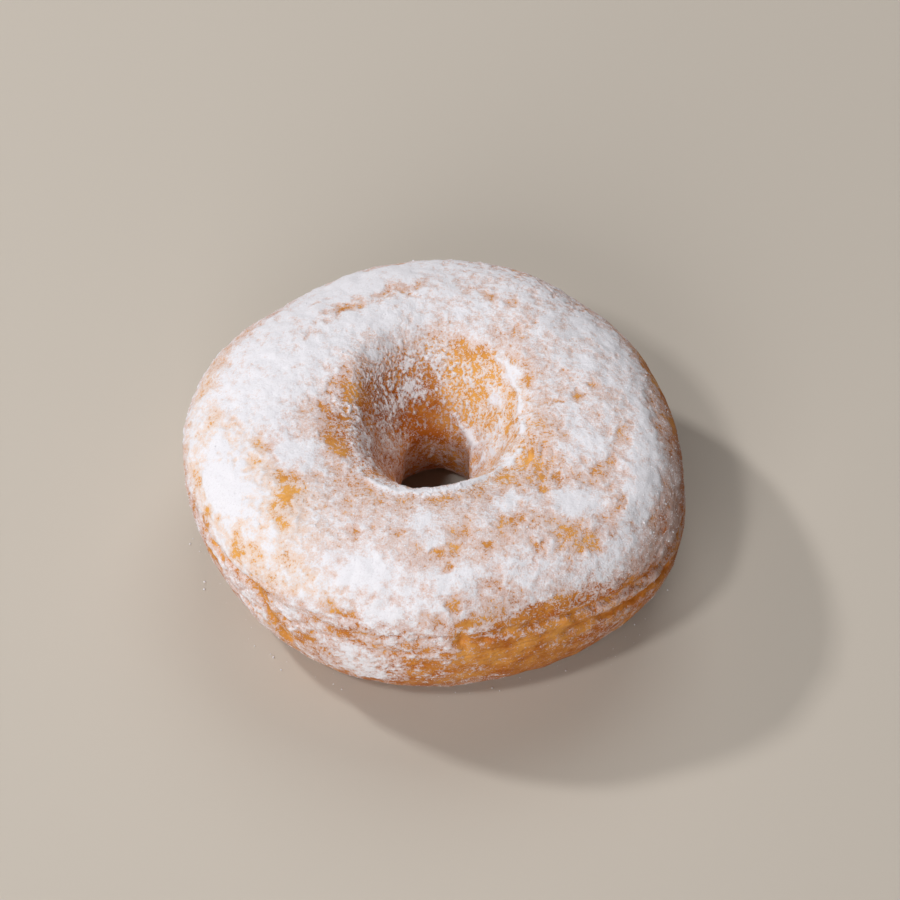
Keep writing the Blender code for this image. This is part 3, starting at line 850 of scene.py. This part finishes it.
def loose_piece(name, places, radii, corners, material, chance):
    """Loose bits of sugar as one piece, each with its own turn, size and uneven form."""
    count = len(places)
    uneven = 1.0 + LOOSE_UNEVENNESS * chance.uniform(-1.0, 1.0, (count, len(corners), 1))
    stretched = corners[None] * chance.uniform(*LOOSE_STRETCH, (count, 1, 3)) * uneven
    turned = np.einsum("nij,nkj->nki", random_turns(count, chance), stretched)
    vertices = places[:, None] + turned * radii[:, None, None]
    vertices[..., 2] = np.maximum(vertices[..., 2], 0.0)
    sides = outer_sides(corners)
    triangles = (sides[None] + len(corners) * np.arange(count)[:, None, None]).reshape(-1, 3)
    piece = new_piece(name, vertices, triangles, material)
    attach(piece, "root")


def mostly_small(smallest, largest, count, chance):
    """Radii from smallest to largest, with many more small ones."""
    return smallest + (largest - smallest) * chance.random(count) ** SMALLNESS


def scatter(grid, kind, weights, corners, material):
    """One kind of loose sugar on the skin, more of it where the weights are larger."""
    name, count, smallest, largest, sunk, seed = kind
    chance = np.random.default_rng(seed)
    places, normals = pick_places(grid, weights, count, chance)
    radii = mostly_small(smallest, largest, count, chance)
    centres = places + normals * (radii * (1.0 - 2.0 * sunk))[:, None]
    loose_piece(name, centres, radii, corners, material, chance)


def scatter_sugar(grid, material):
    """Lumps and grains of loose sugar on the skin: more of them where sugar lies thickly."""
    cover = grid["sugar_cover"]
    off_floor = grid["points"][..., 2] > FLOOR_CLEARANCE
    lumpiness = np.full(cover.shape, EVEN_LUMPS)
    add_places(lumpiness, grid["azimuth"], grid["around"], LUMPY_PLACES)
    lump_weights = smooth_step((cover - LUMP_START) / LUMP_RISE) * off_floor * lumpiness
    grain_weights = smooth_step(cover / GRAIN_RISE) * off_floor * (EVEN_GRAINS + lumpiness)
    scatter(grid, LUMPS, lump_weights, LUMP_CORNERS, material)
    scatter(grid, GRAINS, grain_weights, GRAIN_CORNERS, material)


def drop_sugar(material):
    """Sugar that has fallen on the floor, close to the foot of the ring."""
    name, count, smallest, largest, seed = FALLEN_SUGAR
    chance = np.random.default_rng(seed)
    azimuth = chance.uniform(0.0, math.tau, count)
    radius = FOOT_RADIUS + wave_sum(RADIUS_WAVES, azimuth) + FALLEN_REACH * chance.random(count)
    radii = mostly_small(smallest, largest, count, chance)
    height = FALLEN_HEIGHT * radii
    places = np.stack([radius * np.cos(azimuth), radius * np.sin(azimuth), height], axis=1)
    loose_piece(name, places, radii, LUMP_CORNERS, material, chance)


# ==== Materials ====
LIGHT_CRUST = (0.81, 0.388, 0.088, 1.0)
DEEP_CRUST = (0.45, 0.118, 0.008, 1.0)
CREAM_VEIL = (0.84, 0.68, 0.60, 1.0)
ROSE_VEIL = (0.72, 0.54, 0.50, 1.0)
# The brown veil is partly painted shade: the veil over deep crust, which also darkens the shaded walls of the
# hole and the shaded right flank.
BROWN_VEIL_AND_SHADE = (0.56, 0.39, 0.34, 1.0)
SUGAR_WHITE = (0.865, 0.845, 0.885, 1.0)
SUGAR_SHADE = (0.77, 0.735, 0.77, 1.0)

# Each cloud of noise as (detail, roughness).
CLUMP_NOISE = (2.0, 0.6)
GRAIN_NOISE = (1.0, 0.5)
BLOTCH_NOISE = (3.0, 0.5)
PORE_NOISE = (2.0, 0.5)
SUGAR_NOISE = (2.0, 0.7)

# How many of each lie in a metre, and how many times finer than the clumps the grains of the dusting are.
CLUMPS_A_METRE = 1450.0
BLOTCHES_A_METRE = 230.0
PORES_A_METRE = 1500.0
COAT_GRAINS_A_METRE = 2600.0
LOOSE_GRAINS_A_METRE = 3200.0
GRAIN_FINENESS = 2.2

# How strongly clumps and grains break the cover up, and how much of that reaches the edges of the drifts.
CLUMP_STRENGTH = 1.7
GRAIN_STRENGTH = 1.5
DRIFT_BREAKING = 0.6

# How strongly blotches and pores change the tone of the crust.
BLOTCH_STRENGTH = 1.8
PORE_STRENGTH = 0.7

# (start, end) of a change: of the veil and the drifts by cover, of the veil's colour by the crust's tone, and
# of the sugar's colour by its own noise.
VEIL_RISE = (0.10, 0.46)
DRIFT_RISE = (0.42, 0.96)
ROSE_TONES = (0.05, 0.45)
BROWN_TONES = (0.55, 1.05)
SUGAR_SHADING = (0.25, 0.5)

# How much of the crust's colour a whole veil hides.
VEIL_HIDING = 0.9

CRUST_ROUGHNESS = 0.58
SUGAR_ROUGHNESS = 0.92
LOOSE_SUGAR_ROUGHNESS = 0.9
FLOOR_ROUGHNESS = 0.9
CRUST_SPECULAR = 0.2

# The shares of the veil, of the drifts, of the pores and of all that is finer than clumps in the bumps.
VEIL_HEIGHT = 0.5
DRIFT_HEIGHT = 0.5
PORE_HEIGHT = 0.5
FINE_HEIGHT = 0.8

# The bumps as (strength, height).
COAT_BUMPS = (0.6, 0.19 * MM)
LOOSE_SUGAR_BUMPS = (0.5, 0.1 * MM)


def feed(tree, node, values):
    """Sets a node's inputs. A value is a number, a colour or another node's output."""
    for name, value in values.items():
        if isinstance(value, bpy.types.NodeSocket):
            tree.links.new(value, node.inputs[name])
        else:
            node.inputs[name].default_value = value


def put(tree, kind, settings, inputs):
    """Adds a node with its settings and inputs."""
    node = tree.nodes.new(kind)
    for name, value in settings.items():
        setattr(node, name, value)
    feed(tree, node, inputs)
    return node


def calculate(tree, operation, first, second, held=False):
    """One sum of two numbers or outputs, held between 0 and 1 if asked."""
    settings = {"operation": operation, "use_clamp": held}
    return put(tree, "ShaderNodeMath", settings, {0: first, 1: second}).outputs[0]


def blend_colours(tree, share, under, over):
    """A colour that goes from under to over as share goes from 0 to 1."""
    settings = {"data_type": "RGBA", "clamp_factor": True}
    return put(tree, "ShaderNodeMix", settings, {0: share, 6: under, 7: over}).outputs[2]


def blend_numbers(tree, share, under, over):
    """A number that goes from under to over as share goes from 0 to 1."""
    return put(tree, "ShaderNodeMix", {"data_type": "FLOAT"}, {0: share, 2: under, 3: over}).outputs[0]


def ease(tree, value, change):
    """0 up to the start of the change, 1 from its end on, and an even S in between."""
    settings = {"interpolation_type": "SMOOTHSTEP"}
    inputs = {"Value": value, "From Min": change[0], "From Max": change[1]}
    return put(tree, "ShaderNodeMapRange", settings, inputs).outputs["Result"]


def cloud(tree, place, scale, form):
    """Cloudy noise from about 0 to 1; scale is how many clouds there are in a metre."""
    inputs = {"Vector": place, "Scale": scale, "Detail": form[0], "Roughness": form[1]}
    return put(tree, "ShaderNodeTexNoise", {}, inputs).outputs["Fac"]


def swing(tree, value, strength):
    """Noise from 0 to 1 as a swing round 0."""
    return calculate(tree, "MULTIPLY", calculate(tree, "SUBTRACT", value, 0.5), strength)


def bumps(tree, height, form):
    """The normal that bumps of a height from 0 to 1 give."""
    inputs = {"Strength": form[0], "Distance": form[1], "Height": height}
    return put(tree, "ShaderNodeBump", {}, inputs).outputs["Normal"]


def new_group(name, inputs, outputs):
    """A shader node group with named inputs and outputs, each as (name, kind)."""
    tree = bpy.data.node_groups.new(name, "ShaderNodeTree")
    for in_out, sockets in (("INPUT", inputs), ("OUTPUT", outputs)):
        for label, kind in sockets:
            tree.interface.new_socket(label, in_out=in_out, socket_type="NodeSocket" + kind)
    given = tree.nodes.new("NodeGroupInput").outputs
    result = tree.nodes.new("NodeGroupOutput")
    return tree, given, result


def powder_dusting_group():
    """Breaks a smooth cover of sugar up into clumps and grains: a thin veil, and whole drifts."""
    tree, given, result = new_group(
        "powder_dusting",
        (("Place", "Vector"), ("Cover", "Float"), ("Grain", "Float"), ("Clumps a Metre", "Float")),
        (("Veil", "Float"), ("Drift", "Float"), ("Height", "Float")),
    )
    clumps = cloud(tree, given["Place"], given["Clumps a Metre"], CLUMP_NOISE)
    finer = calculate(tree, "MULTIPLY", given["Clumps a Metre"], GRAIN_FINENESS)
    grains = cloud(tree, given["Place"], finer, GRAIN_NOISE)
    uneven = calculate(tree, "ADD", swing(tree, clumps, CLUMP_STRENGTH), swing(tree, grains, GRAIN_STRENGTH))
    broken = calculate(tree, "MULTIPLY", uneven, given["Grain"])
    level = calculate(tree, "ADD", given["Cover"], broken)
    softer = calculate(tree, "ADD", given["Cover"], calculate(tree, "MULTIPLY", broken, DRIFT_BREAKING))
    veil = ease(tree, level, VEIL_RISE)
    drift = ease(tree, softer, DRIFT_RISE)
    veil_part = calculate(tree, "MULTIPLY", veil, VEIL_HEIGHT)
    drift_part = calculate(tree, "MULTIPLY", drift, DRIFT_HEIGHT)
    height = calculate(tree, "ADD", veil_part, drift_part)
    feed(tree, result, {"Veil": veil, "Drift": drift, "Height": height})
    return tree


def fried_crust_group():
    """Fried crust: its colour from light gold to dark caramel, with blotches, and its fine pores; where the
    tone is deep, painted shade included, the veil over it turns brown.
    """
    tree, given, result = new_group(
        "fried_crust",
        (("Place", "Vector"), ("Tone and Shading", "Float")),
        (("Colour", "Color"), ("Veiled", "Color"), ("Height", "Float")),
    )
    blotches = cloud(tree, given["Place"], BLOTCHES_A_METRE, BLOTCH_NOISE)
    pores = cloud(tree, given["Place"], PORES_A_METRE, PORE_NOISE)
    uneven = calculate(tree, "ADD", swing(tree, blotches, BLOTCH_STRENGTH), swing(tree, pores, PORE_STRENGTH))
    tone = calculate(tree, "ADD", given["Tone and Shading"], uneven, held=True)
    colour = blend_colours(tree, tone, LIGHT_CRUST, DEEP_CRUST)
    pale_veil = blend_colours(tree, ease(tree, given["Tone and Shading"], ROSE_TONES), CREAM_VEIL, ROSE_VEIL)
    veiled = blend_colours(tree, ease(tree, given["Tone and Shading"], BROWN_TONES), pale_veil, BROWN_VEIL_AND_SHADE)
    feed(tree, result, {"Colour": colour, "Veiled": veiled, "Height": pores})
    return tree


def powdered_sugar_group():
    """Powdered sugar: cool white, a little darker between its grains."""
    tree, given, result = new_group(
        "powdered_sugar",
        (("Place", "Vector"), ("Grains a Metre", "Float")),
        (("Colour", "Color"), ("Height", "Float")),
    )
    grains = cloud(tree, given["Place"], given["Grains a Metre"], SUGAR_NOISE)
    colour = blend_colours(tree, ease(tree, grains, SUGAR_SHADING), SUGAR_SHADE, SUGAR_WHITE)
    feed(tree, result, {"Colour": colour, "Height": grains})
    return tree


def use_group(tree, group, inputs):
    """Places a node group, and gives its outputs."""
    return put(tree, "ShaderNodeGroup", {"node_tree": group}, inputs).outputs


def new_material(name):
    """A new material, its nodes and its shader."""
    material = bpy.data.materials.new(name)
    material.use_nodes = True
    return material, material.node_tree, material.node_tree.nodes["Principled BSDF"]


def read_place(tree):
    """Each point's place on the piece itself, in metres."""
    return put(tree, "ShaderNodeTexCoord", {}, {}).outputs["Object"]


def read_amount(tree, name):
    """An amount that is kept on the points of the skin."""
    return put(tree, "ShaderNodeAttribute", {"attribute_name": name}, {}).outputs["Fac"]


def sugared_crust_finish(dusting, crust, sugar):
    """Dough under its sugar: bare crust, a rosy veil of dust over it, and whole drifts."""
    material, tree, shader = new_material("sugared_crust")
    place = read_place(tree)
    cover = read_amount(tree, "sugar_cover")
    grain = read_amount(tree, "sugar_grain")
    tone = read_amount(tree, "crust_tone_and_shading")
    amounts = {"Place": place, "Cover": cover, "Grain": grain, "Clumps a Metre": CLUMPS_A_METRE}
    dust = use_group(tree, dusting, amounts)
    dough = use_group(tree, crust, {"Place": place, "Tone and Shading": tone})
    powder = use_group(tree, sugar, {"Place": place, "Grains a Metre": COAT_GRAINS_A_METRE})
    hidden = calculate(tree, "MULTIPLY", dust["Veil"], VEIL_HIDING)
    dusted = blend_colours(tree, hidden, dough["Colour"], dough["Veiled"])
    pore_part = calculate(tree, "MULTIPLY", dough["Height"], PORE_HEIGHT)
    fine = blend_numbers(tree, dust["Veil"], pore_part, powder["Height"])
    height = calculate(tree, "ADD", dust["Height"], calculate(tree, "MULTIPLY", fine, FINE_HEIGHT))
    sockets = {
        "Base Color": blend_colours(tree, dust["Drift"], dusted, powder["Colour"]),
        "Roughness": blend_numbers(tree, dust["Veil"], CRUST_ROUGHNESS, SUGAR_ROUGHNESS),
        "Specular IOR Level": CRUST_SPECULAR,
        "Normal": bumps(tree, height, COAT_BUMPS),
    }
    feed(tree, shader, sockets)
    return material


def loose_sugar_finish(sugar):
    """Loose lumps and grains of the same sugar."""
    material, tree, shader = new_material("loose_sugar")
    powder = use_group(tree, sugar, {"Place": read_place(tree), "Grains a Metre": LOOSE_GRAINS_A_METRE})
    sockets = {
        "Base Color": powder["Colour"],
        "Roughness": LOOSE_SUGAR_ROUGHNESS,
        "Normal": bumps(tree, powder["Height"], LOOSE_SUGAR_BUMPS),
    }
    feed(tree, shader, sockets)
    return material


# ==== Camera, light and floor ====
# How steeply the camera looks down, how far off it is, the picture's scale there and its side in pixels.
CAMERA_TILT = math.radians(50.8)
CAMERA_DISTANCE = 0.75
PIXELS_A_METRE = 5067.0
PICTURE_SIDE = 900.0

# Where the ring's axis meets the floor, and the pixel that shows that place.
RING_AXIS = Vector((0.43 * MM, -0.59 * MM, 0.0))
RING_AXIS_PIXEL = (435.9, 528.6)

# The width of the camera's sensor in millimetres.
SENSOR_WIDTH = 36.0


def place_camera():
    """The camera at the picture's own angle, with the ring's axis on its own pixel at floor level."""
    backwards = Vector((0.0, -math.cos(CAMERA_TILT), math.sin(CAMERA_TILT)))
    upwards = Vector((0.0, math.sin(CAMERA_TILT), math.cos(CAMERA_TILT)))
    middle = PICTURE_SIDE / 2
    aim = RING_AXIS + Vector((1.0, 0.0, 0.0)) * ((middle - RING_AXIS_PIXEL[0]) / PIXELS_A_METRE)
    aim += upwards * ((RING_AXIS_PIXEL[1] - middle) / PIXELS_A_METRE)
    data = bpy.data.cameras.new("camera")
    data.sensor_width = SENSOR_WIDTH
    data.lens = SENSOR_WIDTH * PIXELS_A_METRE * CAMERA_DISTANCE / PICTURE_SIDE
    camera = bpy.data.objects.new("camera", data)
    camera.location = RING_AXIS + backwards * CAMERA_DISTANCE
    camera.rotation_euler = (aim - camera.location).to_track_quat("-Z", "Y").to_euler()
    bpy.context.scene.collection.objects.link(camera)
    bpy.context.scene.camera = camera


# Square soft lights: (name, azimuth and elevation in degrees, side, power), at one distance from the ring.
LIGHTS = (
    ("window", 152, 42, 0.10, 5.3),
    ("skylight", 225, 55, 0.14, 3.5),
    ("room_glow", 252, 24, 0.80, 8.3),
    ("back_glow", 78, 52, 0.80, 4.6),
)
LIGHT_DISTANCE = 1.2
ROOM_COLOUR = (1.0, 1.0, 1.0, 1.0)
ROOM_STRENGTH = 0.02


def add_light(name, azimuth, elevation, side, power):
    """A square soft light that looks at the origin."""
    data = bpy.data.lights.new(name, "AREA")
    data.energy = power
    data.size = side
    light = bpy.data.objects.new(name, data)
    flat = LIGHT_DISTANCE * math.cos(math.radians(elevation))
    light.location = (
        flat * math.cos(math.radians(azimuth)),
        flat * math.sin(math.radians(azimuth)),
        LIGHT_DISTANCE * math.sin(math.radians(elevation)),
    )
    light.rotation_euler = (-light.location).to_track_quat("-Z", "Y").to_euler()
    bpy.context.scene.collection.objects.link(light)


def set_light():
    """The lights and the dim, even light of the room."""
    for light in LIGHTS:
        add_light(*light)
    world = bpy.data.worlds.new("room")
    world.use_nodes = True
    tree = world.node_tree
    feed(tree, tree.nodes["Background"], {"Color": ROOM_COLOUR, "Strength": ROOM_STRENGTH})
    bpy.context.scene.world = world
    bpy.context.scene.view_settings.view_transform = "Standard"


FLOOR_SIDE = 6.0
FLOOR_COLOUR = (0.58, 0.52, 0.45, 1.0)


def lay_floor():
    """A plain pale floor under the ring."""
    half = FLOOR_SIDE / 2
    corners = np.array([(-half, -half, 0.0), (half, -half, 0.0), (half, half, 0.0), (-half, half, 0.0)])
    material, tree, shader = new_material("pale_floor")
    feed(tree, shader, {"Base Color": FLOOR_COLOUR, "Roughness": FLOOR_ROUGHNESS})
    floor = new_piece("floor", corners, np.array([(0, 1, 2, 3)]), material)


def main():
    """Makes the finishes, the sugared ring, the floor, the lights and the camera."""
    dusting = powder_dusting_group()
    crust = fried_crust_group()
    sugar = powdered_sugar_group()
    crust_finish = sugared_crust_finish(dusting, crust, sugar)
    sugar_finish = loose_sugar_finish(sugar)
    grid = skin_grid()
    for name, first, last in grid["spans"]:
        skin_piece(name, grid, first, last, crust_finish)
    scatter_sugar(grid, sugar_finish)
    drop_sugar(sugar_finish)
    lay_floor()
    set_light()
    place_camera()


main()
